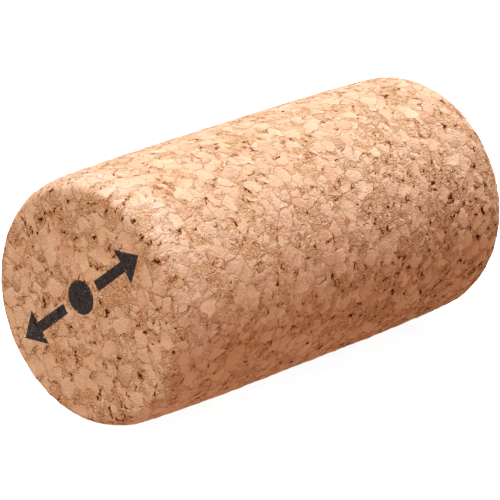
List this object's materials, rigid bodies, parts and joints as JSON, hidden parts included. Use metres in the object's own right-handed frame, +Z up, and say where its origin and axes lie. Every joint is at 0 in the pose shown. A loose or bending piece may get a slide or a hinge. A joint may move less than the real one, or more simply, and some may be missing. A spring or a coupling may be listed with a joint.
{
  "type": "massage roller",
  "caption": "Short solid roller of agglomerated cork with softly rounded ends, for rolling out muscles, with a plain printed mark on one end.",
  "frame": {"origin": "middle of the roller, on its axis, halfway between the two end faces", "axes": "+X along the roller's axis, from the printed end to the plain end; +Z up as it lies on its side on a table; +Y completes the right-handed frame"},
  "size_m": [0.1, 0.052, 0.0519],
  "materials": {
    "cork": "bare sanded agglomerated cork: 1 to 4 mm granules in beige, tan and pinkish brown, with open dark pits",
    "ink": "matt dark brown-black ink printed into the cork grain"
  },
  "bodies": {
    "root": {"cork_roller": "cork", "printed_mark": "ink"}
  },
  "joints": []
}
